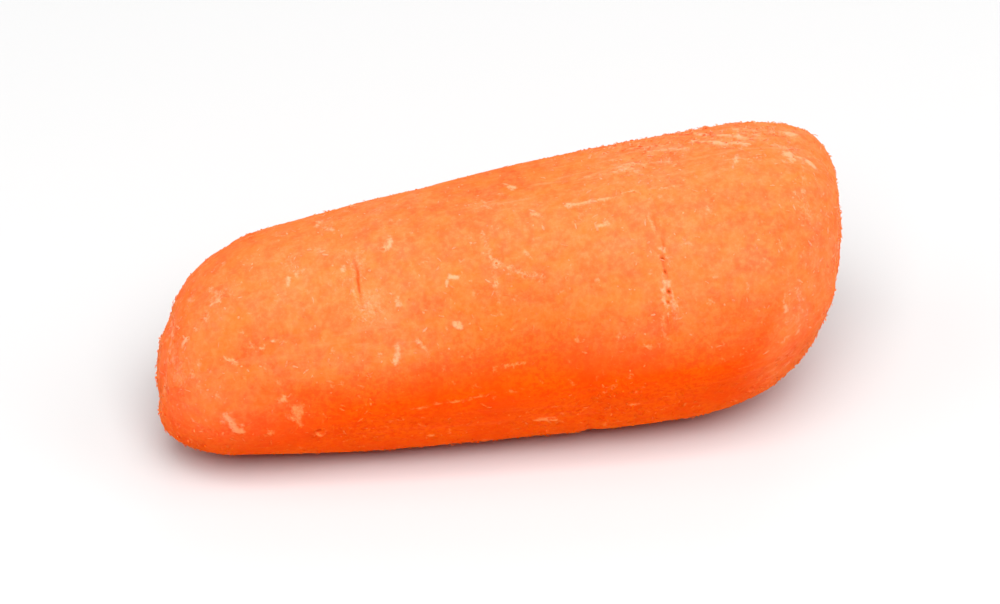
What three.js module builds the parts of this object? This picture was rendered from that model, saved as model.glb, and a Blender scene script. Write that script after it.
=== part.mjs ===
// A baby-cut carrot: a short length of carrot root, peeled and tumbled until its ends are round.
//
// Millimetres, +Z up. The carrot lies on the floor with its narrow end towards -X and its wide end
// towards +X, and the origin is on the floor under the middle of its box. It is one solid: a turned
// profile, pressed out of true by the peeler's flats, the cross creases of the root and its slanted
// ends, then laid down and given the small flat spot that it rests on.
//
// Directions round the body are angles in degrees about its axis: 0 faces +Y, 90 faces up, 180 faces
// -Y and 270 faces the floor.

import * as THREE from 'three';
import { mergeVertices } from 'three/addons/utils/BufferGeometryUtils.js';

// ---- Driving dimensions ----

// The core line of the body, and its radius at either end before the shoulders are rounded.
const LENGTH = 45.1;
const NARROW_RADIUS = 6.2;
const WIDE_RADIUS = 9.23;
const BELLY = 0.97;

// The rounded shoulders: how far each reaches along the body, and how blunt it is (2 is an ellipse).
const NARROW_SHOULDER = 6.4;
const WIDE_SHOULDER = 10.1;
const NARROW_BLUNTNESS = 2.42;
const WIDE_BLUNTNESS = 2.79;

// The shallow ring that outlines the root's core in both end faces.
const CORE_SHARE = 0.42;
const CORE_RING_DEPTH = 0.22;
const CORE_RING_WIDTH = 0.9;
const END_FACE_REACH = 4;

// The ends are cut at a slant: each section slides along the body by this share of its height in
// the direction LEAN_AROUND.
const LEAN = 0.267;
const LEAN_AROUND = 52;

// The body is a little bowed, and lies tilted so that its tapered underside is level.
const BOW = 0.5;
const BOW_AROUND = 322;
const TILT = 3.9;
const REST_DEPTH = 0.4;

// Slow swells that keep the sections from being true circles. Each has its share of the radius, its
// number of lobes, the direction of its first lobe, and its twist in degrees a millimetre.
const SWELLS = [
  { share: 0.010, lobes: 2, around: 35, twist: 1.5 },
  { share: 0.006, lobes: 3, around: 200, twist: -3 },
  { share: 0.004, lobes: 1, around: 80, twist: 20 },
];

// Long flats left by the peeler: the direction that each faces, its half width in degrees, and the
// stretch of the body that it runs along.
const FLATS = [
  { around: 82, halfWidth: 25, from: -8, to: 27 },
  { around: 149, halfWidth: 18, from: -27, to: -1 },
  { around: 204, halfWidth: 23, from: -15, to: 27 },
  { around: 250, halfWidth: 15, from: -27, to: 4 },
  { around: 297, halfWidth: 22, from: -7, to: 27 },
  { around: 341, halfWidth: 19, from: -27, to: 12 },
  { around: 24, halfWidth: 21, from: -5, to: 27 },
];
const FLAT_FADE = 8;

// Cross creases, the scars of the root's fine side roots: where along the body and in which
// direction the middle of each lies, its half span in degrees, and its depth.
const CREASES = [
  { along: 10.2, around: 136, halfSpan: 30, depth: 0.34 },
  { along: -9.4, around: 118, halfSpan: 14, depth: 0.22 },
  { along: -0.5, around: 124, halfSpan: 20, depth: 0.14 },
  { along: 4.5, around: 218, halfSpan: 26, depth: 0.24 },
  { along: -15.5, around: 190, halfSpan: 22, depth: 0.20 },
  { along: 15.2, around: 250, halfSpan: 24, depth: 0.22 },
  { along: -5.5, around: 262, halfSpan: 20, depth: 0.16 },
  { along: -12.6, around: 318, halfSpan: 28, depth: 0.26 },
  { along: 2.4, around: 340, halfSpan: 30, depth: 0.30 },
  { along: 13.6, around: 12, halfSpan: 26, depth: 0.26 },
  { along: -3.8, around: 30, halfSpan: 22, depth: 0.20 },
  { along: -17.2, around: 48, halfSpan: 20, depth: 0.16 },
  { along: 18.0, around: 316, halfSpan: 18, depth: 0.16 },
];
const CREASE_HALF_WIDTH = 0.55;
const CREASE_FULL_RADIUS = 4;

// Fineness of the faceted surface.
const SIDES = 56;
const NARROW_RINGS = 16;
const BODY_RINGS = 46;
const WIDE_RINGS = 20;

const HALF_LENGTH = LENGTH / 2;

// ---- Helpers ----

// Cosine of an angle in degrees.
function cosine(degrees) {
  return Math.cos(THREE.MathUtils.degToRad(degrees));
}

// Sine of an angle in degrees.
function sine(degrees) {
  return Math.sin(THREE.MathUtils.degToRad(degrees));
}

// How far direction a is round from direction b, from -180 to 180 degrees.
function turnBetween(a, b) {
  return THREE.MathUtils.euclideanModulo(a - b + 180, 360) - 180;
}

// A soft bump that is 1 where share is 0 and fades to 0 where it reaches 1 or -1.
function softBump(share) {
  return Math.abs(share) < 1 ? (1 - share * share) ** 2 : 0;
}

// A bell curve that is 1 at 0.
function bell(distance, halfWidth) {
  return Math.exp(-((distance / halfWidth) ** 2));
}

// ---- Turned profile ----

// Radius of the tapered body, before its shoulders are rounded.
function bodyRadius(along) {
  const share = (along + HALF_LENGTH) / LENGTH;
  const taper = THREE.MathUtils.lerp(NARROW_RADIUS, WIDE_RADIUS, share);
  return taper + BELLY * 4 * share * (1 - share);
}

// One point of the profile: x is its radius and y its place along the body. The end faces carry the
// shallow ring round the core.
function profilePoint(along, fullness) {
  const radius = bodyRadius(along) * fullness;
  const end = Math.sign(along);
  const endRadius = end > 0 ? WIDE_RADIUS : NARROW_RADIUS;
  const onEndFace = HALF_LENGTH - Math.abs(along) < END_FACE_REACH;
  const dip = onEndFace ? CORE_RING_DEPTH * bell(radius - CORE_SHARE * endRadius, CORE_RING_WIDTH) : 0;
  return new THREE.Vector2(radius, along - end * dip);
}

// A shoulder is a quarter of a superellipse, from the tip on the axis out to the full body.
function shoulder(end, reach, bluntness, rings) {
  const points = [];
  for (let ring = 0; ring < rings; ring += 1) {
    const angle = (90 * ring) / rings;
    const fullness = sine(angle) ** (2 / bluntness);
    const inset = reach * (1 - cosine(angle) ** (2 / bluntness));
    points.push(profilePoint(end * (HALF_LENGTH - inset), fullness));
  }
  return points;
}

function bodyProfile() {
  const from = -HALF_LENGTH + NARROW_SHOULDER;
  const to = HALF_LENGTH - WIDE_SHOULDER;
  const points = shoulder(-1, NARROW_SHOULDER, NARROW_BLUNTNESS, NARROW_RINGS);
  for (let ring = 0; ring <= BODY_RINGS; ring += 1) {
    points.push(profilePoint(THREE.MathUtils.lerp(from, to, ring / BODY_RINGS), 1));
  }
  return points.concat(shoulder(1, WIDE_SHOULDER, WIDE_BLUNTNESS, WIDE_RINGS).reverse());
}

// ---- Relief ----

// How much of its radius the body keeps after the swells and the peeler's flats. A flat's depth is
// the one that makes its middle level.
function sectionShare(along, around) {
  let share = 1;
  for (const swell of SWELLS) {
    share += swell.share * cosine(swell.lobes * (around - swell.around) + swell.twist * along);
  }
  for (const flat of FLATS) {
    const levelDepth = THREE.MathUtils.degToRad(flat.halfWidth) ** 2 / 4;
    const start = THREE.MathUtils.smoothstep(along, flat.from, flat.from + FLAT_FADE);
    const finish = 1 - THREE.MathUtils.smoothstep(along, flat.to - FLAT_FADE, flat.to);
    const across = softBump(turnBetween(around, flat.around) / flat.halfWidth);
    share -= levelDepth * across * start * finish;
  }
  return share;
}

// Depth of the creases. They fade out on the small radii of the end faces.
function creaseDepth(along, around, radius) {
  let depth = 0;
  for (const crease of CREASES) {
    const across = bell(along - crease.along, CREASE_HALF_WIDTH);
    depth += crease.depth * across * softBump(turnBetween(around, crease.around) / crease.halfSpan);
  }
  return depth * Math.min(radius / CREASE_FULL_RADIUS, 1);
}

// Moves one point of the turned body, which lies along X, to its place on the shaped carrot.
function shapePoint(point) {
  const along = point.x;
  const around = THREE.MathUtils.radToDeg(Math.atan2(point.z, point.y));
  const sectionRadius = Math.hypot(point.y, point.z) * sectionShare(along, around);
  const slid = along + LEAN * sectionRadius * cosine(around - LEAN_AROUND);
  const radius = sectionRadius - creaseDepth(slid, around, sectionRadius);
  const bow = BOW * (1 - (along / HALF_LENGTH) ** 2);
  point.set(
    slid,
    radius * cosine(around) + bow * cosine(BOW_AROUND),
    radius * sine(around) + bow * sine(BOW_AROUND),
  );
}

// ---- The carrot ----

function carrotGeometry() {
  const turned = new THREE.LatheGeometry(bodyProfile(), SIDES);
  turned.deleteAttribute('normal');
  turned.deleteAttribute('uv');
  const geometry = mergeVertices(turned);
  geometry.rotateZ(-Math.PI / 2);

  const position = geometry.attributes.position;
  const point = new THREE.Vector3();
  for (let index = 0; index < position.count; index += 1) {
    point.fromBufferAttribute(position, index);
    shapePoint(point);
    position.setXYZ(index, point.x, point.y, point.z);
  }
  geometry.rotateY(-THREE.MathUtils.degToRad(TILT));

  // Lay it down: centred over the origin, sunk by the depth of its flat spot, and levelled there.
  geometry.computeBoundingBox();
  const { min, max } = geometry.boundingBox;
  geometry.translate(-(min.x + max.x) / 2, -(min.y + max.y) / 2, -min.z - REST_DEPTH);
  for (let index = 0; index < position.count; index += 1) {
    position.setZ(index, Math.max(position.getZ(index), 0));
  }
  geometry.computeVertexNormals();
  return geometry;
}

const carrotFlesh = new THREE.MeshStandardMaterial({
  name: 'carrot_flesh',
  color: new THREE.Color('#f4802f'),
  roughness: 0.55,
  metalness: 0,
});

const carrot = new THREE.Mesh(carrotGeometry(), carrotFlesh);
carrot.name = 'carrot';

const babyCarrot = new THREE.Group();
babyCarrot.name = 'baby_carrot';
babyCarrot.add(carrot);

export default babyCarrot;
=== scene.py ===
"""A baby-cut carrot lying on a pale floor in soft studio light.

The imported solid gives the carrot's form. This script builds the same form again as a fine skin, from
the same named sizes, and adds what the solid leaves plain: peeler streaks, cross creases with torn
lips, pits, nicks, scuffed ends, torn flecks and the mottled colour. Sizes are in millimetres until a
mesh is made. Directions round the body are in degrees: 0 faces +Y, 90 faces up, 180 faces -Y.
"""

import math
from itertools import product

import bpy
import numpy as np
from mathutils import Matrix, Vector


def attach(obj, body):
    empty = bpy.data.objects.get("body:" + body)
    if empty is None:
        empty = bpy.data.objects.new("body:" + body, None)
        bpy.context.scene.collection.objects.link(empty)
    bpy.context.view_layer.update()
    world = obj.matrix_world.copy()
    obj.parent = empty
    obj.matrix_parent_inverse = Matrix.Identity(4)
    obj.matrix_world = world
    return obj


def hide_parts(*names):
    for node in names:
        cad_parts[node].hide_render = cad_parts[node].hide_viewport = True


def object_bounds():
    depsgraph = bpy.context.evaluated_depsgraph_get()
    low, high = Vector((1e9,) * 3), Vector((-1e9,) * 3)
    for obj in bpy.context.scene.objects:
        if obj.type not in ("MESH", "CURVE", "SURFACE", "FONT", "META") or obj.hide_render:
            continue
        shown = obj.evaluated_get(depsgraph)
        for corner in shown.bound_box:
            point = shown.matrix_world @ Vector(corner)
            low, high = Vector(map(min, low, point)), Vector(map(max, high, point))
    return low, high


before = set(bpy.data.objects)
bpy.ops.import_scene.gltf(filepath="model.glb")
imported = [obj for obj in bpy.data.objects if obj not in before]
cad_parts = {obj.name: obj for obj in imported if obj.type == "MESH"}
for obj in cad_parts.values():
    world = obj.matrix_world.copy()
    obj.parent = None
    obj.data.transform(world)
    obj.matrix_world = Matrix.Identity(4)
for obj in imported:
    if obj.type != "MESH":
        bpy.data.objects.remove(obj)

cad_low, cad_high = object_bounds()

MM = 0.001

# ---- The form, as in the solid ----

LENGTH = 45.1
HALF_LENGTH = LENGTH / 2
NARROW_RADIUS = 6.2
WIDE_RADIUS = 9.23
BELLY = 0.97
NARROW_SHOULDER = 6.4
WIDE_SHOULDER = 10.1
NARROW_BLUNTNESS = 2.42
WIDE_BLUNTNESS = 2.79
CORE_SHARE = 0.42
CORE_RING_DEPTH = 0.22
CORE_RING_WIDTH = 0.9
END_FACE_REACH = 4
LEAN = 0.267
LEAN_AROUND = 52
BOW = 0.5
BOW_AROUND = 322
TILT = 3.9

# Slow swells: share of the radius, lobes, direction of the first lobe, twist in degrees a millimetre.
SWELLS = [(0.010, 2, 35, 1.5), (0.006, 3, 200, -3), (0.004, 1, 80, 20)]

# The peeler's flats: direction, half width in degrees, and the stretch from and to.
FLATS = [
    (82, 25, -8, 27),
    (149, 18, -27, -1),
    (204, 23, -15, 27),
    (250, 15, -27, 4),
    (297, 22, -7, 27),
    (341, 19, -27, 12),
    (24, 21, -5, 27),
]
FLAT_FADE = 8

# Cross creases: place along, direction, half span in degrees, depth, and how far its slit has opened,
# from 0, healed over, to 1.
CREASES = [
    (10.2, 136, 30, 0.34, 0.42),
    (-9.4, 118, 14, 0.22, 0.66),
    (-0.5, 124, 20, 0.14, 0.1),
    (4.5, 218, 26, 0.24, 0.2),
    (-15.5, 190, 22, 0.20, 0.1),
    (15.2, 250, 24, 0.22, 0.4),
    (-5.5, 262, 20, 0.16, 0.2),
    (-12.6, 318, 28, 0.26, 0.4),
    (2.4, 340, 30, 0.30, 0.6),
    (13.6, 12, 26, 0.26, 0.5),
    (-3.8, 30, 22, 0.20, 0.3),
    (-17.2, 48, 20, 0.16, 0.2),
    (18.0, 316, 18, 0.16, 0.3),
]
CREASE_HALF_WIDTH = 0.55
CREASE_FULL_RADIUS = 4

# The torn lips of an open crease: how far out from its slit their crests run, and their half width.
LIP_OFFSET = 0.27
LIP_HALF_WIDTH = 0.13

# ---- The skin's mesh ----

SIDES = 256
RINGS = 388
PROFILE_STEPS = 4000
CROWDING = 6             # extra rings at a crease, for each millimetre of its depth
CROWDING_HEALED = 0.3    # share of them at a healed crease, to which its openness is added
SQUARE_FROM, SQUARE_FULL = -21, -15     # between these the rings turn square to the body,
SQUARE_LAST, SQUARE_TO = 13, 19         # and between these they turn back
TIP_RADIUS = 0.5         # added to the radius where skin is reckoned, so that the tips count too

# ---- Marks on the skin ----

# The gentle unevenness, from wide swells to grain: how high each is, how wide, and its seed.
UNEVENNESS = [(0.055, 5.5, 1), (0.03, 2.4, 2), (0.018, 1.0, 3), (0.022, 0.5, 4)]

# Marks that face the camera. Each is a short line: where it starts and ends (place along and
# direction), its half width, how far it stands up, and how pale it is.
FRONT_MARKS = [
    # Torn lips of the open crack.
    ((9.8, 112), (9.95, 121), 0.14, 0.03, 0.40),
    ((10.4, 114), (10.45, 120), 0.14, 0.03, 0.30),
    ((10.15, 130), (10.25, 130), 0.20, 0.05, 0.80),
    ((10.55, 133), (10.55, 137), 0.18, 0.04, 0.50),
    ((10.2, 143), (10.25, 145), 0.20, 0.05, 0.75),
    ((9.75, 146), (9.7, 150), 0.15, 0.05, 0.65),
    ((10.4, 149), (10.35, 154), 0.17, 0.04, 0.50),
    ((9.6, 157), (9.5, 161), 0.20, 0.02, 0.35),
    # The torn edge of a peeler stroke, and fainter ones along the top.
    ((4.3, 103), (7.2, 103), 0.14, 0.06, 0.54),
    ((7.2, 103), (9.3, 101), 0.13, 0.05, 0.55),
    ((9.3, 101), (11.8, 102), 0.13, 0.03, 0.50),
    ((6.5, 84), (9.6, 85), 0.14, 0.04, 0.45),
    ((9.0, 80), (12.0, 84), 0.16, 0.05, 0.50),
    ((9.6, 68), (12.6, 70), 0.15, 0.05, 0.50),
    ((11.0, 73), (13.4, 76), 0.15, 0.05, 0.55),
    ((13.8, 72), (17.4, 80), 0.16, 0.06, 0.75),
    ((14.3, 64), (17.3, 75), 0.18, 0.06, 0.70),
    ((15.2, 76), (16.0, 78), 0.16, 0.06, 0.85),
    ((16.8, 66), (20.5, 72), 0.20, 0.06, 0.60),
    ((15.6, 92), (17.8, 93), 0.13, 0.04, 0.50),
    # A healed crease with a smear beside it, both soft, and a small hook.
    ((-0.9, 108), (-0.6, 124), 0.28, 0.03, 0.34),
    ((-0.6, 124), (-0.7, 142), 0.28, 0.02, 0.28),
    ((-0.3, 124), (0.7, 130), 0.20, 0.03, 0.34),
    ((0.7, 130), (2.4, 134), 0.22, 0.03, 0.42),
    ((-3.9, 129), (-3.5, 126), 0.16, 0.06, 0.85),
    ((-3.5, 126), (-3.0, 126), 0.16, 0.06, 0.90),
    # Nicks.
    ((-3.8, 148), (-3.5, 147), 0.24, 0.07, 0.85),
    ((-7.9, 161), (-7.8, 159), 0.24, 0.08, 0.90),
    ((-7.7, 158), (-7.5, 152), 0.17, 0.05, 0.45),
    ((-7.0, 105), (-6.9, 98), 0.20, 0.05, 0.75),
    ((-6.1, 153), (-5.7, 160), 0.15, 0.03, 0.45),
    ((-7.1, 131), (-7.2, 135), 0.17, 0.04, 0.50),
    ((6.6, 115), (6.8, 115), 0.24, 0.05, 0.80),
    ((1.6, 121), (1.7, 123), 0.17, 0.03, 0.50),
    ((2.6, 104), (2.8, 104), 0.17, 0.05, 0.55),
    ((13.5, 116), (14.0, 120), 0.14, 0.04, 0.50),
    ((15.0, 112), (15.1, 112), 0.14, 0.04, 0.50),
    ((11.7, 130), (12.0, 130), 0.16, 0.04, 0.45),
    ((16.1, 94), (16.5, 88), 0.15, 0.07, 0.75),
    ((19.7, 89), (20.1, 91), 0.22, 0.08, 0.70),
    ((20.9, 92), (21.2, 93), 0.24, 0.09, 1.00),
    ((17.8, 134), (17.9, 138), 0.16, 0.04, 0.40),
    ((17.6, 163), (17.7, 165), 0.20, 0.06, 0.75),
    ((9.5, 162), (9.8, 168), 0.16, 0.03, 0.40),
    ((3.8, 162), (4.0, 162), 0.16, 0.05, 0.55),
    ((7.1, 182), (7.3, 182), 0.15, 0.05, 0.50),
    ((7.1, 202), (7.4, 202), 0.18, 0.07, 0.75),
    ((1.0, 207), (1.4, 207), 0.20, 0.09, 0.90),
    ((0.3, 140), (0.4, 140), 0.16, 0.04, 0.50),
    ((-13.9, 113), (-13.7, 110), 0.17, 0.06, 0.75),
    ((-16.2, 156), (-16.1, 156), 0.16, 0.06, 0.65),
    ((-21.0, 134), (-20.8, 131), 0.18, 0.07, 0.80),
    # Short arcs, where the narrow end has been scraped.
    ((-18.6, 148), (-18.0, 152), 0.14, 0.04, 0.45),
    ((-16.6, 146), (-15.5, 142), 0.11, 0.05, 0.60),
    ((-15.5, 142), (-14.5, 144), 0.11, 0.04, 0.50),
    ((-20.2, 148), (-20.4, 166), 0.24, 0.04, 0.35),
    # Chips low on the narrow end, and long low streaks.
    ((-19.0, 181), (-18.6, 191), 0.34, 0.10, 0.75),
    ((-14.6, 179), (-14.3, 190), 0.32, 0.08, 0.60),
    ((-16.4, 195), (-16.3, 197), 0.22, 0.08, 0.65),
    ((-13.2, 199), (-13.1, 201), 0.22, 0.08, 0.65),
    ((-7.2, 186), (-2.8, 183), 0.12, 0.05, 0.50),
    ((-2.8, 183), (0.5, 181), 0.10, 0.04, 0.45),
]

# Pores strung along the open crack, painted dark as shade: place along, direction, radius, depth.
FRONT_PITS = [
    (10.1, 134, 0.16, 0.20),
    (10.15, 139, 0.12, 0.16),
    (10.15, 147, 0.14, 0.16),
    (10.0, 152, 0.14, 0.14),
]

# Wide patches of whiter film that face the camera: place along, direction, radius, paleness.
FILM_PATCHES = [
    (-9.2, 135, 1.3, 0.28),
    (-9.1, 107, 1.1, 0.25),
    (-10.5, 118, 1.2, 0.20),
    (-8.4, 131, 1.0, 0.18),
    (9.4, 86, 1.2, 0.25),
    (5.9, 104, 1.0, 0.20),
    (-18.4, 107, 0.5, 0.35),
    (-17.4, 110, 0.5, 0.35),
    (-19.3, 118, 0.5, 0.30),
    (-21.6, 158, 1.0, 0.35),
    (-13.6, 100, 1.0, 0.25),
    (-10.3, 79, 0.9, 0.30),
    (-7.2, 77, 0.9, 0.30),
    (-1.0, 87, 1.0, 0.25),
    (19.8, 90, 1.3, 0.25),
    (18.0, 72, 1.8, 0.25),
    (12.5, 76, 1.5, 0.20),
]

# The way that skin under the thickest film, and so the strongest painted top light, faces, as parts of
# X, Y and Z.
FILM_AND_LIGHT_FACING = (0, -0.15, 0.99)

# Low swellings that square off the rims of the ends: place along, direction, radius, height.
RIM_SWELLINGS = [
    (21.4, 68, 1.8, 0.24),
    (20.9, 172, 1.8, 0.35),
    (-22.5, 238, 2.0, 0.42),
]

# The side that faces the camera and has those marks: its middle direction and half span in degrees.
FRONT_AROUND = 135
FRONT_HALF_SPAN = 110

# Marks strewn over the whole skin, by a seeded draw.
SEED = 20
NICK_COUNT = 110
SCRATCH_COUNT = 60
PIT_COUNT = 130
FLECK_COUNT = 6000

# A fleck's sections, from its root to its tip: the share of its length, of its width and of its lift.
FLECK_SECTIONS = [(0, 0.8, 0), (0.55, 1, 0.8), (1, 0.5, 1)]
FLECK_SIDES = 4
FLECK_POINTS = len(FLECK_SECTIONS) * FLECK_SIDES
FLECK_ROOT_DEPTH = 0.03
FLECK_FLATNESS = 0.4


# ---- Shaping helpers ----

NOISE_SHIFT = 1000       # keeps the cells' numbers above zero
NOISE_GAIN = 1.6         # brings the noise to about -1 to 1


def smoothstep(value, low, high):
    """0 up to low and 1 from high on, with a smooth step between them."""
    share = np.clip((value - low) / (high - low), 0, 1)
    return share * share * (3 - 2 * share)


def turn_between(a, b):
    """How far direction a is round from direction b, from -180 to 180 degrees."""
    return (a - b + 180) % 360 - 180


def soft_bump(share):
    """1 where share is 0, fading to 0 where it reaches 1 or -1."""
    return np.where(np.abs(share) < 1, (1 - share * share) ** 2, 0.0)


def bell(distance, half_width):
    """A bell curve that is 1 at 0."""
    return np.exp(-((distance / half_width) ** 2))


def scrambled(cells, seed):
    """A repeatable random number from -1 to 1 for each cell, given as three whole numbers. The long
    numbers below are odd multipliers that mix the bits well."""
    x, y, z = (cells[..., axis].astype(np.uint32) for axis in range(3))
    mixed = x * np.uint32(0x9E3779B1) + y * np.uint32(0x85EBCA77) + z * np.uint32(0xC2B2AE3D)
    mixed = mixed + np.uint32(seed * 0x27D4EB2F & 0xFFFFFFFF)
    for shift, factor in ((15, 0x2C1B3C6D), (12, 0x297A2D39)):
        mixed = (mixed ^ (mixed >> np.uint32(shift))) * np.uint32(factor)
    return (mixed ^ (mixed >> np.uint32(15))) / 2.0**31 - 1


def noise(points, size, seed, stretch=(1, 1, 1)):
    """Smooth noise of about -1 to 1, with features some size millimetres across."""
    scaled = points / (size * np.array(stretch)) + NOISE_SHIFT
    cell = np.floor(scaled).astype(np.int64)
    part = scaled - cell
    ease = part * part * part * (part * (6 * part - 15) + 10)
    total = np.zeros(points.shape[:-1])
    for corner in product((0, 1), repeat=3):
        weight = np.prod(np.where(corner, ease, 1 - ease), axis=-1)
        slope = np.stack([scrambled(cell + corner, seed * 3 + axis) for axis in range(3)], axis=-1)
        total += weight * np.sum(slope * (part - corner), axis=-1)
    return NOISE_GAIN * total


# ---- The form ----

def body_radius(along):
    """Radius of the tapered body, before its shoulders are rounded."""
    share = (along + HALF_LENGTH) / LENGTH
    return NARROW_RADIUS + (WIDE_RADIUS - NARROW_RADIUS) * share + BELLY * 4 * share * (1 - share)


def shoulder(inset, reach, bluntness):
    """How full the body is, from 0 on the axis to 1, this far in from a tip."""
    short = np.clip(1 - inset / reach, 0, 1)
    return (1 - short**bluntness) ** (1 / bluntness)


def fullness(along):
    """How full the body is at each place, with both its shoulders."""
    narrow = shoulder(along + HALF_LENGTH, NARROW_SHOULDER, NARROW_BLUNTNESS)
    return narrow * shoulder(HALF_LENGTH - along, WIDE_SHOULDER, WIDE_BLUNTNESS)


def ring_places():
    """Places for the rings, evenly spaced over the profile and closer together at the creases."""
    along = -HALF_LENGTH * np.cos(np.linspace(0, math.pi, PROFILE_STEPS))
    radius = body_radius(along) * fullness(along)
    middle = (along[1:] + along[:-1]) / 2
    density = np.ones_like(middle)
    for crease, _, _, depth, openness in CREASES:
        crowding = CROWDING * depth * (CROWDING_HEALED + openness)
        density += crowding * bell(middle - crease, CREASE_HALF_WIDTH)
    steps = density * np.hypot(np.diff(along), np.diff(radius))
    travelled = np.concatenate([[0], np.cumsum(steps)])
    return np.interp(np.linspace(0, travelled[-1], RINGS), travelled, along)


def flat_strength(along, around, flat):
    """How strongly a flat presses at each point, from 0 to 1."""
    facing, half_width, start, end = flat
    begun = smoothstep(along, start, start + FLAT_FADE)
    ended = smoothstep(along, end - FLAT_FADE, end)
    return begun * (1 - ended) * soft_bump(turn_between(around, facing) / half_width)


def section_share(along, around):
    """How much of its radius the body keeps after the swells and the flats. A flat's depth is the one
    that makes its middle level."""
    share = np.ones(np.broadcast(along, around).shape)
    for amount, lobes, facing, twist in SWELLS:
        share += amount * np.cos(np.radians(lobes * (around - facing) + twist * along))
    for flat in FLATS:
        level_depth = math.radians(flat[1]) ** 2 / 4
        share -= level_depth * flat_strength(along, around, flat)
    return share


class Form:
    """The carrot's smooth form on a grid of rings and sides, lying along X about its own middle.

    along and around say where each point is on the body, scar_place is its place along as the
    creases measure it, and points and normals are where it is in space and which way it faces.
    """

    def __init__(self):
        place = ring_places()[:, None]
        self.around = np.repeat(np.arange(SIDES)[None, :] * 360 / SIDES, RINGS, axis=0)
        lean = LEAN * np.cos(np.radians(self.around - LEAN_AROUND))
        turned_back = smoothstep(place, SQUARE_LAST, SQUARE_TO)
        square = smoothstep(place, SQUARE_FROM, SQUARE_FULL) * (1 - turned_back)
        along = place - square * lean * body_radius(place) * fullness(place)
        self.fullness = fullness(along)
        plain_radius = body_radius(along) * self.fullness

        end_radius = np.where(along > 0, WIDE_RADIUS, NARROW_RADIUS)
        on_end_face = HALF_LENGTH - np.abs(along) < END_FACE_REACH
        core_ring = bell(plain_radius - CORE_SHARE * end_radius, CORE_RING_WIDTH)
        self.along = along - np.sign(along) * np.where(on_end_face, CORE_RING_DEPTH * core_ring, 0)
        self.radius = plain_radius * section_share(self.along, self.around)
        self.scar_place = self.along + lean * self.radius

        bow = BOW * (1 - (self.along / HALF_LENGTH) ** 2)
        angle = np.radians(self.around)
        side = self.radius * np.cos(angle) + bow * math.cos(math.radians(BOW_AROUND))
        height = self.radius * np.sin(angle) + bow * math.sin(math.radians(BOW_AROUND))
        self.points = np.stack([self.scar_place, side, height], axis=-1)
        self.normals = self.find_normals()

    def find_normals(self):
        """Which way each point faces. A tip takes the mean of the ring beside it."""
        onward = np.gradient(self.points, axis=0)
        round_it = np.roll(self.points, -1, axis=1) - np.roll(self.points, 1, axis=1)
        normals = np.cross(round_it, onward)
        normals[0] = normals[1].mean(axis=0)
        normals[-1] = normals[-2].mean(axis=0)
        return normals / np.linalg.norm(normals, axis=-1, keepdims=True)

    def areas(self):
        """About how much skin each point stands for. The points at the tips keep a small share."""
        ring_gap = np.linalg.norm(np.gradient(self.points, axis=0), axis=-1)
        return ring_gap * (self.radius + TIP_RADIUS)

    def nearest(self, place, facing):
        """Grid index of the point at this place along, as the creases measure it, and direction."""
        sideways = np.radians(turn_between(self.around, facing)) * self.radius
        distance = np.hypot(self.scar_place - place, sideways)
        return np.unravel_index(np.argmin(distance), self.around.shape)


# ---- The skin's relief ----

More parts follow.
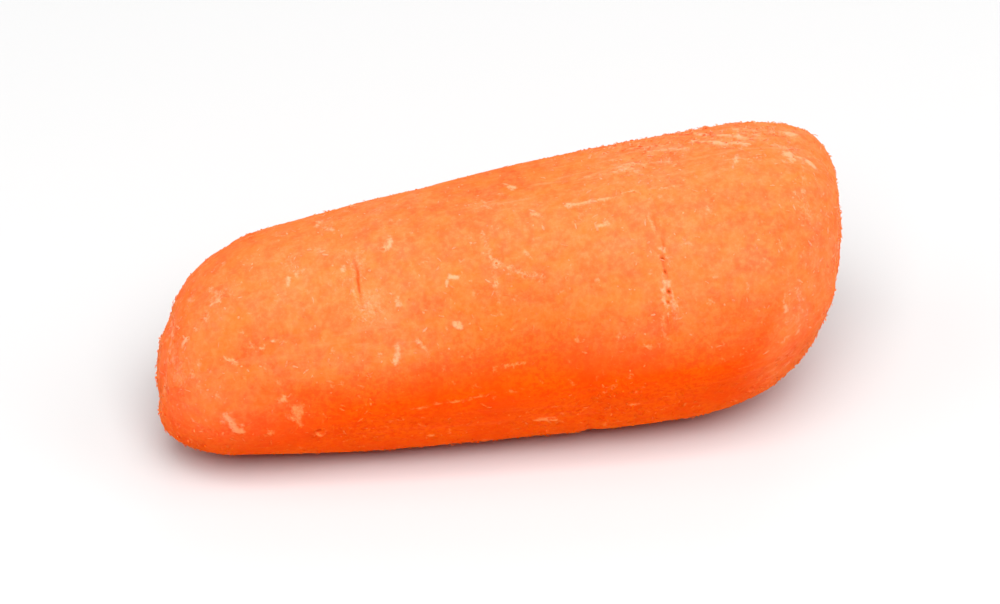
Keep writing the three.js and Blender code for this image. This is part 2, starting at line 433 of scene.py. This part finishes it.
class Skin:
    """What the skin carries at each point of a form.

    height is how far the point stands up. Four masks from 0 to 1 colour the flesh: pale is how torn or
    chafed it is, the scar mask how far down in a scar it lies, which the material paints as shade,
    peeled how flat the peeler has left it, and the film mask how thick its dried film is; that is
    thickest where the skin faces up, so it also paints light on the upper side and shade on the
    underside. ragged, a noise of about -1 to 1, and wandered, each point's place after a small drift,
    break up the edges of the marks.
    """

    def __init__(self, form):
        self.form = form
        self.height = np.zeros_like(form.around)
        self.pale = np.zeros_like(form.around)
        self.scar_shade = np.zeros_like(form.around)
        self.peeled = np.zeros_like(form.around)
        self.film_and_top_light = self.dried_film_and_top_light()
        self.ragged = noise(form.points, 0.35, 11)
        drift = [noise(form.points, 0.8, 21 + axis) for axis in range(3)]
        self.wandered = form.points + 0.16 * np.stack(drift, axis=-1)

    def dried_film_and_top_light(self):
        """The film is thick where the skin faces up and on both ends, and thins towards the floor. It
        is partly real dried film and partly painted light on the upper side and painted shade on the
        underside.
        """
        form = self.form
        # On top it stops a little higher round the middle, and lower towards the wide end; below that
        # edge the flesh is painted in shade.
        higher = 0.09 * bell(form.along - 1, 6)
        lower = 0.3 * (np.maximum(form.along, 0) / HALF_LENGTH) ** 2
        top = smoothstep(form.normals @ FILM_AND_LIGHT_FACING - higher + lower, 0.08, 0.98)
        upward = form.normals[..., 2]
        wide_end = (form.along > 0) * smoothstep(1 - form.fullness, 0, 0.12)
        wide_end *= smoothstep(upward, -1.0, 0.2)
        narrow_end = smoothstep(-form.along, 9, 20) * smoothstep(upward, -0.7, 0.25)
        dried = np.maximum(top, np.maximum(0.95 * wide_end, 0.72 * narrow_end))
        return np.minimum(dried * (0.95 + 0.3 * noise(form.points, 5, 484)), 1)

    def whiten(self, amount):
        """Adds paleness that never passes 1."""
        self.pale = 1 - (1 - self.pale) * (1 - np.clip(amount, 0, 1))

    def undulate(self):
        """The gentle unevenness of a tumbled surface."""
        for rise, size, seed in UNEVENNESS:
            self.height += rise * noise(self.form.points, size, seed)
        self.whiten(0.4 * smoothstep(noise(self.form.points, 0.5, 27), 0.33, 0.8))

    def streak(self):
        """Fine lines that the peeler leaves along its flats."""
        form = self.form
        for flat in FLATS:
            self.peeled = np.maximum(self.peeled, flat_strength(form.along, form.around, flat))
        self.peeled *= 1 - 0.6 * smoothstep(-form.along, 4, 14)
        wander = noise(form.points, 0.55, 5, stretch=(16, 1, 1))
        lines = np.clip(1 - 5 * np.abs(wander), 0, 1) ** 2
        patches = smoothstep(noise(form.points, 3.2, 6, stretch=(2, 1, 1)), -0.1, 0.5)
        share = (0.2 + 0.8 * self.peeled) * smoothstep(form.fullness, 0.6, 0.95)
        grooves = 0.03 * noise(form.points, 0.8, 7, stretch=(14, 1, 1))
        self.height += share * (grooves + 0.025 * lines * patches)
        self.whiten(0.3 * share * lines * patches)

    def crease(self, place, facing, half_span, depth, openness):
        """A cross scar: a soft hollow with a jagged slit in it, between torn, pale lips. The slit is
        painted dark as shade.
        """
        form = self.form
        share = turn_between(form.around, facing) / half_span
        taper = soft_bump(share * 0.7) * np.clip(form.radius / CREASE_FULL_RADIUS, 0, 1)
        jag = 0.20 * noise(form.points, 1.5, 12) + 0.09 * noise(form.points, 0.55, 13)
        across = form.scar_place - place - jag
        open_here = smoothstep(noise(form.points, 0.6, 14), -0.45, 0.3)
        gape = np.maximum(open_here, smoothstep(openness, 0.4, 0.7))
        slit_width = (0.06 + 0.08 * openness) * (0.6 + 0.4 * gape)
        slit = openness * taper * (0.45 + 0.55 * gape) * bell(across, slit_width)
        lips = openness * taper * bell(np.abs(across) - LIP_OFFSET, LIP_HALF_WIDTH)
        lips *= np.clip(0.45 + 0.8 * self.ragged, 0, 1)
        hollow = 0.6 * taper * bell(across, CREASE_HALF_WIDTH)
        self.height += 0.04 * lips - depth * (hollow + 0.8 * slit)
        self.whiten(0.5 * lips)
        # The slit is painted dark: painted shade.
        self.scar_shade = np.maximum(self.scar_shade, slit)

    def mark(self, start, end, half_width, rise, paleness):
        """A short raised line or spot between two points in space, with a wandering, ragged edge."""
        line = end - start
        from_start = self.wandered - start
        length_squared = max(line @ line, 1e-9)         # a spot may start and end at one point
        share = np.clip(from_start @ line / length_squared, 0, 1)
        distance = np.linalg.norm(from_start - share[..., None] * line, axis=-1)
        near = bell(distance * np.maximum(1 + 0.9 * self.ragged, 0.4), half_width)
        self.height += rise * near
        self.whiten(paleness * near)

    def pit(self, centre, radius, depth, shade_darkness=0.35):
        """A small pore with a faint pale rim, and its hollow painted dark as shade."""
        distance = np.linalg.norm(self.wandered - centre, axis=-1) * (1 + 0.3 * self.ragged)
        hollow = bell(distance, radius)
        rim = bell(distance - 1.5 * radius, 0.5 * radius)
        self.height += 0.2 * depth * rim - depth * hollow
        self.whiten(0.3 * rim)
        # The hollow is painted dark: painted shade.
        self.scar_shade = np.maximum(self.scar_shade, shade_darkness * hollow)

    def film(self, place, facing, radius, paleness):
        """A wide, faint patch where the film is whiter."""
        centre = self.form.points[self.form.nearest(place, facing)]
        distance = np.linalg.norm(self.wandered - centre, axis=-1) * (1 + 0.5 * self.ragged)
        self.whiten(paleness * bell(distance, radius))

    def swell(self, place, facing, radius, rise):
        """A smooth, low swelling."""
        centre = self.form.points[self.form.nearest(place, facing)]
        self.height += rise * bell(np.linalg.norm(self.form.points - centre, axis=-1), radius)

    def scuff_ends(self):
        """The ends are rough, and pale where their rims are scraped and in a ring round the core."""
        form = self.form
        end = smoothstep(1 - form.fullness, 0.02, 0.5)
        self.height += end * (0.04 * noise(form.points, 1.6, 8) + 0.03 * noise(form.points, 0.7, 9))
        scraped = smoothstep(noise(form.points, 1.5, 10) + 0.6 * self.ragged, 0.05, 0.6)
        rim = soft_bump((form.fullness - 0.86) / 0.14)
        self.whiten(end * (0.08 + 0.20 * scraped) + 0.28 * rim * scraped)

        end_radius = np.where(form.along > 0, WIDE_RADIUS, NARROW_RADIUS)
        from_core = form.radius / end_radius - CORE_SHARE + 0.05 * noise(form.points, 1.2, 17)
        core_ring = bell(from_core, 0.05) * (form.fullness < 0.8)
        self.whiten(0.6 * core_ring * np.clip(0.5 + 0.8 * self.ragged, 0, 1))

    def strew(self, draw):
        """Nicks, scratches and pits over the whole skin, thickest on the ends and thinnest on the side
        that has its own marks."""
        form = self.form
        spots = form.points.reshape(-1, 3)
        facing = form.normals.reshape(-1, 3)
        odds = form.areas() * (1 + 1.5 * smoothstep(1 - form.fullness, 0, 0.3))
        odds *= 1 - 0.98 * soft_bump(turn_between(form.around, FRONT_AROUND) / FRONT_HALF_SPAN)
        odds = (odds / odds.sum()).ravel()
        for at in draw.choice(len(spots), NICK_COUNT, p=odds):
            size = draw.uniform(0.10, 0.24)
            aside = np.cross(facing[at], draw.normal(size=3)) * size
            self.mark(spots[at], spots[at] + aside, size, 0.4 * size, draw.uniform(0.35, 0.95))
        for at in draw.choice(len(spots), SCRATCH_COUNT, p=odds):
            way = np.cross(facing[at], draw.normal(size=3) * (0.4, 1, 1))
            aside = way / np.linalg.norm(way) * draw.uniform(0.7, 2.4)
            half_width = draw.uniform(0.08, 0.13)
            self.mark(spots[at], spots[at] + aside, half_width, 0.03, draw.uniform(0.25, 0.65))
        for at in draw.choice(len(spots), PIT_COUNT, p=odds):
            self.pit(spots[at], draw.uniform(0.10, 0.26), draw.uniform(0.06, 0.16))

    def frayed(self):
        """How thickly torn flecks stand at each point."""
        points = self.form.points
        patches = smoothstep(noise(points, 4, 15) + 0.5 * noise(points, 1.2, 16), 0, 0.8)
        end = smoothstep(1 - self.form.fullness, 0, 0.4)
        ridge = soft_bump(turn_between(self.form.around, 62) / 45)
        ridge *= soft_bump((self.form.along - 12) / 12)
        underside = soft_bump(turn_between(self.form.around, 215) / 35)
        return 0.8 * patches + self.pale + 0.6 * end + 1.2 * ridge + 0.6 * underside

    def build(self, draw):
        """All the relief, from the gentlest to the marks that are strewn last."""
        self.undulate()
        self.streak()
        for scar in CREASES:
            self.crease(*scar)
        for start, end, half_width, rise, paleness in FRONT_MARKS:
            ends = (self.form.points[self.form.nearest(*spot)] for spot in (start, end))
            self.mark(*ends, half_width, rise, paleness)
        for place, facing, radius, depth in FRONT_PITS:
            self.pit(self.form.points[self.form.nearest(place, facing)], radius, depth, shade_darkness=0.9)
        for patch in FILM_PATCHES:
            self.film(*patch)
        for swelling in RIM_SWELLINGS:
            self.swell(*swelling)
        self.scuff_ends()
        self.strew(draw)


# ---- Meshes ----

class Place:
    """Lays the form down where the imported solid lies, and turns millimetres into metres."""

    def __init__(self, form):
        tilt = math.radians(TILT)
        self.turn = np.array([
            [math.cos(tilt), 0, -math.sin(tilt)],
            [0, 1, 0],
            [math.sin(tilt), 0, math.cos(tilt)],
        ])
        laid = form.points.reshape(-1, 3) @ self.turn.T
        low, high = laid.min(axis=0), laid.max(axis=0)
        solid_low, solid_high = np.array(cad_low) / MM, np.array(cad_high) / MM
        # The two boxes share their middle sideways, and their top.
        self.shift = (solid_low + solid_high - low - high) / 2
        self.shift[2] = solid_high[2] - high[2]

    def __call__(self, points):
        """Where points of the form lie, in metres. None of them goes below the floor."""
        laid = points.reshape(-1, 3) @ self.turn.T + self.shift
        laid[:, 2] = np.maximum(laid[:, 2], 0)
        return laid * MM


def add_mesh(name, points, faces, attributes, smooth):
    """A piece of the scene whose mesh carries a number at each point for every attribute."""
    mesh = bpy.data.meshes.new(name)
    mesh.from_pydata(points.tolist(), [], faces)
    for attribute, values in attributes.items():
        layer = mesh.attributes.new(attribute, "FLOAT", "POINT")
        layer.data.foreach_set("value", np.asarray(values, np.float32).ravel())
    if smooth:
        mesh.shade_smooth()
    mesh.update()
    piece = bpy.data.objects.new(name, mesh)
    bpy.context.scene.collection.objects.link(piece)
    return piece


def skin_faces():
    """Quads between the rings, and fans round the tips, which are the last two points."""
    inner = RINGS - 2
    narrow_tip, wide_tip = inner * SIDES, inner * SIDES + 1
    faces = []
    for ring, side in product(range(inner - 1), range(SIDES)):
        here, there = ring * SIDES + side, ring * SIDES + (side + 1) % SIDES
        faces.append((here, there, there + SIDES, here + SIDES))
    last = (inner - 1) * SIDES
    for side in range(SIDES):
        after = (side + 1) % SIDES
        faces.append((narrow_tip, after, side))
        faces.append((wide_tip, last + side, last + after))
    return faces


def on_skin(values):
    """A grid of values as the skin's list of points: the inner rings, then the two tips."""
    inner = values[1:-1].reshape((-1,) + values.shape[2:])
    return np.concatenate([inner, values[:1, 0], values[-1:, 0]])


def make_skin(form, skin, place):
    """The whole skin as one closed mesh."""
    raised = form.points + form.normals * skin.height[..., None]
    masks = {"pale": skin.pale, "scar_shade": skin.scar_shade, "peeled": skin.peeled, "film_and_top_light": skin.film_and_top_light}
    masks = {name: on_skin(values) for name, values in masks.items()}
    return add_mesh("carrot_skin", place(on_skin(raised)), skin_faces(), masks, smooth=True)


def fleck_faces(count):
    """Faces of count flecks, each of them a row of four-sided sections with a cap at either end."""
    root = tuple(range(FLECK_SIDES))
    tip = tuple(range(FLECK_POINTS - FLECK_SIDES, FLECK_POINTS))
    fleck = [root[::-1], tip]
    for section, side in product(range(len(FLECK_SECTIONS) - 1), range(FLECK_SIDES)):
        here = section * FLECK_SIDES + side
        there = section * FLECK_SIDES + (side + 1) % FLECK_SIDES
        fleck.append((here, there, there + FLECK_SIDES, here + FLECK_SIDES))
    first = np.arange(count)[:, None, None] * FLECK_POINTS
    return (first + np.array(fleck)).reshape(-1, FLECK_SIDES).tolist()


def make_flecks(form, skin, place, draw):
    """Torn flecks of flesh, short and flat, rooted in the skin and lifting from it."""
    raised = (form.points + form.normals * skin.height[..., None]).reshape(-1, 3)
    frayed = skin.frayed()
    odds = (form.areas() * (0.25 + frayed)).ravel()
    at = draw.choice(len(raised), size=FLECK_COUNT, p=odds / odds.sum())
    normal = form.normals.reshape(-1, 3)[at]
    way = np.cross(normal, draw.normal(size=(FLECK_COUNT, 3)))
    way /= np.linalg.norm(way, axis=-1, keepdims=True)
    side = np.cross(normal, way)

    # About one fleck in four is longer than the rest, and one in six lifts further.
    length = draw.uniform(0.12, 0.26, FLECK_COUNT) * draw.choice((1, 1, 1, 2.2), FLECK_COUNT)
    half_width = draw.uniform(0.035, 0.085, FLECK_COUNT)
    lift = draw.uniform(0.02, 0.08, FLECK_COUNT) * (0.7 + 0.8 * np.minimum(frayed.ravel()[at], 1.6))
    lift *= draw.choice((1, 1, 1, 1, 1, 1.4), FLECK_COUNT)
    bend = length * draw.uniform(-0.4, 0.4, FLECK_COUNT)
    sections = []
    for share, breadth, rise in FLECK_SECTIONS:
        centre = raised[at] + way * (length * share)[:, None] + side * (bend * share**2)[:, None]
        centre += normal * (lift * rise - FLECK_ROOT_DEPTH)[:, None]
        wide = side * (half_width * breadth)[:, None]
        thick = normal * (FLECK_FLATNESS * half_width * breadth)[:, None]
        sections += [centre + wide, centre + thick, centre - wide, centre - thick]
    laid = place(np.stack(sections, axis=1)).reshape(FLECK_COUNT, FLECK_POINTS, 3)

    root_film_and_light = skin.film_and_top_light.ravel()[at]
    # Flecks are paler where the film mask is high: partly painted light on top.
    paleness = draw.uniform(0.0, 0.6, FLECK_COUNT) * (0.7 + 0.3 * root_film_and_light)
    clear = laid[..., 2].min(axis=1) > 0            # those pressed against the floor are left out
    points = laid[clear].reshape(-1, 3)
    none = np.zeros(len(points))
    masks = {
        "pale": np.repeat(paleness[clear], FLECK_POINTS),
        "scar_shade": none,
        "peeled": none,
        "film_and_top_light": np.repeat(root_film_and_light[clear], FLECK_POINTS),
    }
    return add_mesh("torn_flecks", points, fleck_faces(clear.sum()), masks, smooth=False)


# ---- Materials ----

# Colours of the flesh, as linear red, green and blue, and alpha.
DEEP_FLESH = (0.88, 0.050, 0.001, 1)
FLESH = (0.93, 0.090, 0.001, 1)
LIGHT_FLESH = (0.96, 0.155, 0.003, 1)
# The film's pale colour, laid thickest on top: partly dried film, partly painted light.
DUSTY_FILM_AND_TOP_LIGHT = (0.97, 0.265, 0.115, 1)
TORN_FLESH = (0.97, 0.31, 0.16, 1)
# A shaded copy of torn flesh, used where the film mask is low: painted shade.
SHADED_TORN_FLESH = (0.97, 0.24, 0.06, 1)
# Painted shade for the slits of the scars and the pores.
SCAR_SHADE = (0.33, 0.055, 0.003, 1)


def add_node(tree, kind, settings=None, inputs=None):
    """Adds a shader node. An input that is given a socket is linked to it, any other is set."""
    node = tree.nodes.new(kind)
    for name, value in (settings or {}).items():
        setattr(node, name, value)
    for name, value in (inputs or {}).items():
        if isinstance(value, bpy.types.NodeSocket):
            tree.links.new(value, node.inputs[name])
        else:
            node.inputs[name].default_value = value
    return node


def texture_noise(tree, vector, scale, detail=3, roughness=0.6):
    """Noise with about scale features a millimetre."""
    settings = {"noise_dimensions": "3D"}
    inputs = {"Vector": vector, "Scale": scale, "Detail": detail, "Roughness": roughness}
    return add_node(tree, "ShaderNodeTexNoise", settings, inputs).outputs[0]


def ramp(tree, value, low, high, bottom=0.0, top=1.0):
    """Value as it goes from low to high, turned smoothly into bottom to top."""
    settings = {"interpolation_type": "SMOOTHSTEP"}
    inputs = {"Value": value, "From Min": low, "From Max": high, "To Min": bottom, "To Max": top}
    return add_node(tree, "ShaderNodeMapRange", settings, inputs).outputs[0]


def calculate(tree, operation, *values):
    """The outcome of a Math node."""
    settings = {"operation": operation}
    return add_node(tree, "ShaderNodeMath", settings, dict(enumerate(values))).outputs[0]


def blend(tree, factor, a, b):
    """Colour a where factor is 0, going over to colour b where it is 1."""
    settings = {"data_type": "RGBA", "blend_type": "MIX"}
    return add_node(tree, "ShaderNodeMix", settings, {0: factor, 6: a, 7: b}).outputs[2]


def mask(tree, name):
    """One of the numbers that the mesh carries at its points."""
    return add_node(tree, "ShaderNodeAttribute", {"attribute_name": name}).outputs["Fac"]


def flesh_material():
    material = bpy.data.materials.new("carrot_flesh")
    material.use_nodes = True
    tree = material.node_tree
    tree.nodes.clear()

    place = add_node(tree, "ShaderNodeTexCoord").outputs["Object"]
    millimetres = {"Vector": place, "Scale": (1 / MM, 1 / MM, 1 / MM)}
    here = add_node(tree, "ShaderNodeMapping", None, millimetres).outputs[0]
    drawn_out = {"Vector": here, "Scale": (0.07, 1, 1)}         # long along the body
    lengthwise = add_node(tree, "ShaderNodeMapping", None, drawn_out).outputs[0]
    pale, scar_shade, peeled, film_and_top_light = (mask(tree, name) for name in ("pale", "scar_shade", "peeled", "film_and_top_light"))

    clouds = texture_noise(tree, here, 0.16, detail=2)
    mottle = texture_noise(tree, here, 0.75, detail=5, roughness=0.62)
    grain = texture_noise(tree, here, 3.2, detail=4, roughness=0.65)
    fine = texture_noise(tree, here, 9, detail=2)
    torn = texture_noise(tree, here, 6, detail=3, roughness=0.7)
    patchy = texture_noise(tree, here, 1.1, detail=3, roughness=0.55)
    lines = texture_noise(tree, lengthwise, 1.6, detail=4, roughness=0.6)

    # Saturated flesh with deep speckles, under lighter patches and grain. The speckles thicken where
    # the film mask is low, and the lighter patches and grain where it is high: painted shade on the
    # underside and painted light on top.
    colour = blend(tree, ramp(tree, clouds, 0.3, 0.7), DEEP_FLESH, FLESH)
    moist_and_shaded = ramp(tree, film_and_top_light, 0.1, 0.8, 0.95, 0.2)
    speckled = calculate(tree, "MULTIPLY", moist_and_shaded, ramp(tree, grain, 0.35, 0.6, 1, 0))
    colour = blend(tree, speckled, colour, DEEP_FLESH)
    drier_and_lit = ramp(tree, film_and_top_light, 0, 0.8, 0.25, 1)
    lighter = calculate(tree, "MULTIPLY", drier_and_lit, ramp(tree, mottle, 0.35, 0.65, 0.1, 0.6))
    colour = blend(tree, lighter, colour, LIGHT_FLESH)
    grainy = calculate(tree, "MULTIPLY", drier_and_lit, ramp(tree, grain, 0.45, 0.75, 0, 0.5))
    colour = blend(tree, grainy, colour, LIGHT_FLESH)

    # Pale lines along the peeler's flats, faded where the film mask is low, as painted shade on the
    # underside.
    on_flats = ramp(tree, peeled, 0, 1, 0.05, 0.42)
    lined = calculate(tree, "MULTIPLY", ramp(tree, lines, 0.52, 0.66), on_flats)
    lined = calculate(tree, "MULTIPLY", lined, ramp(tree, film_and_top_light, 0, 0.8, 0.1, 1))
    colour = blend(tree, lined, colour, DUSTY_FILM_AND_TOP_LIGHT)

    # Dried film, broken up by the grain. It lies thickest on top, so it is partly painted light.
    dust_and_top_light = calculate(tree, "MULTIPLY", film_and_top_light, ramp(tree, grain, 0.35, 0.7, 0.34, 0.53))
    dust_and_top_light = calculate(tree, "MULTIPLY", dust_and_top_light, ramp(tree, patchy, 0.35, 0.65, 0.8, 1.2))
    colour = blend(tree, dust_and_top_light, colour, DUSTY_FILM_AND_TOP_LIGHT)

    # Torn flesh on the marks, paler where the film mask is high, as painted light on top, with a
    # painted-shade copy below; and painted shade in the scars' slits and pores.
    broken = calculate(tree, "MULTIPLY_ADD", torn, 0.9, pale)
    torn_colour = blend(tree, ramp(tree, film_and_top_light, 0, 0.8), SHADED_TORN_FLESH, TORN_FLESH)
    colour = blend(tree, ramp(tree, broken, 0.6, 1.25), colour, torn_colour)
    colour = blend(tree, ramp(tree, scar_shade, 0.05, 0.85), colour, SCAR_SHADE)

    roughness = ramp(tree, calculate(tree, "ADD", pale, grain), 0.4, 1.3, 0.48, 0.78)

    relief = calculate(tree, "MULTIPLY_ADD", fine, 0.35, grain)
    bumps = {"Strength": 0.6, "Distance": 0.05 * MM, "Height": relief}
    bump = add_node(tree, "ShaderNodeBump", None, bumps)

    inputs = {
        "Base Color": colour,
        "Roughness": roughness,
        "Normal": bump.outputs[0],
        "Subsurface Weight": 0.35,
        "Subsurface Radius": (1.0, 0.28, 0.08),
        "Subsurface Scale": 1.3 * MM,
        "IOR": 1.3,
        "Specular IOR Level": 0.01,
        "Sheen Weight": 0.12,
        "Sheen Roughness": 0.35,
        "Sheen Tint": (1.0, 0.45, 0.01, 1),
    }
    shader = add_node(tree, "ShaderNodeBsdfPrincipled", None, inputs)
    add_node(tree, "ShaderNodeOutputMaterial", None, {"Surface": shader.outputs[0]})
    return material


def floor_material():
    material = bpy.data.materials.new("pale_floor")
    material.use_nodes = True
    shader = material.node_tree.nodes["Principled BSDF"]
    shader.inputs["Base Color"].default_value = (0.58, 0.58, 0.58, 1)
    shader.inputs["Roughness"].default_value = 0.9
    return material


# ---- Stage, light and camera ----

FLOOR_SIZE = 6.0
FLOOR_DROP = 0.02 * MM          # keeps the floor just clear of the flat spot
VIEW_AZIMUTH = -9.8
VIEW_ELEVATION = 38
VIEW_DISTANCE = 0.48
CARROT_IN_VIEW = 0.0445         # width of the carrot as the camera sees it
SHARE_OF_FRAME = 0.68
AIM = (0.0, 0.0, 0.0085)


def view_direction(azimuth, elevation):
    """From the carrot towards a viewer. Azimuth 0 looks along +Y."""
    a, e = math.radians(azimuth), math.radians(elevation)
    return Vector((math.sin(a) * math.cos(e), -math.cos(a) * math.cos(e), math.sin(e)))


def aim(thing, direction, distance):
    thing.location = Vector(AIM) + direction * distance
    thing.rotation_euler = direction.to_track_quat("Z", "Y").to_euler()


def add_floor():
    mesh = bpy.data.meshes.new("floor")
    half = FLOOR_SIZE / 2
    corners = [(-half, -half, 0), (half, -half, 0), (half, half, 0), (-half, half, 0)]
    mesh.from_pydata(corners, [], [(0, 1, 2, 3)])
    mesh.materials.append(floor_material())
    floor = bpy.data.objects.new("floor", mesh)
    floor.location.z = -FLOOR_DROP
    bpy.context.scene.collection.objects.link(floor)


def add_softbox(name, azimuth, elevation, distance, size, power):
    light = bpy.data.lights.new(name, "AREA")
    light.shape = "SQUARE"
    light.size = size
    light.energy = power
    softbox = bpy.data.objects.new(name, light)
    bpy.context.scene.collection.objects.link(softbox)
    aim(softbox, view_direction(azimuth, elevation), distance)


def add_world(strength):
    world = bpy.data.worlds.new("studio")
    world.use_nodes = True
    background = world.node_tree.nodes["Background"]
    background.inputs["Color"].default_value = (1, 1, 1, 1)
    background.inputs["Strength"].default_value = strength
    bpy.context.scene.world = world


def add_camera():
    data = bpy.data.cameras.new("camera")
    data.lens = data.sensor_width * SHARE_OF_FRAME * VIEW_DISTANCE / CARROT_IN_VIEW
    camera = bpy.data.objects.new("camera", data)
    bpy.context.scene.collection.objects.link(camera)
    aim(camera, view_direction(VIEW_AZIMUTH, VIEW_ELEVATION), VIEW_DISTANCE)
    bpy.context.scene.camera = camera


# ---- The scene ----

def main():
    draw = np.random.default_rng(SEED)
    form = Form()
    skin = Skin(form)
    skin.build(draw)
    place = Place(form)

    flesh = flesh_material()
    carrot = make_skin(form, skin, place)
    flecks = make_flecks(form, skin, place, draw)
    for piece in (carrot, flecks):
        piece.data.materials.append(flesh)
        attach(piece, "root")
    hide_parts("carrot")

    add_floor()
    add_world(strength=0.29)
    add_softbox("key", azimuth=-4, elevation=61, distance=0.55, size=0.42, power=4.5)
    add_softbox("right", azimuth=66, elevation=44, distance=0.6, size=0.4, power=1.1)
    add_softbox("left", azimuth=-84, elevation=44, distance=0.6, size=0.4, power=0.8)
    add_softbox("back", azimuth=160, elevation=45, distance=0.65, size=0.4, power=0.6)
    add_camera()
    bpy.context.scene.view_settings.view_transform = "Standard"


main()
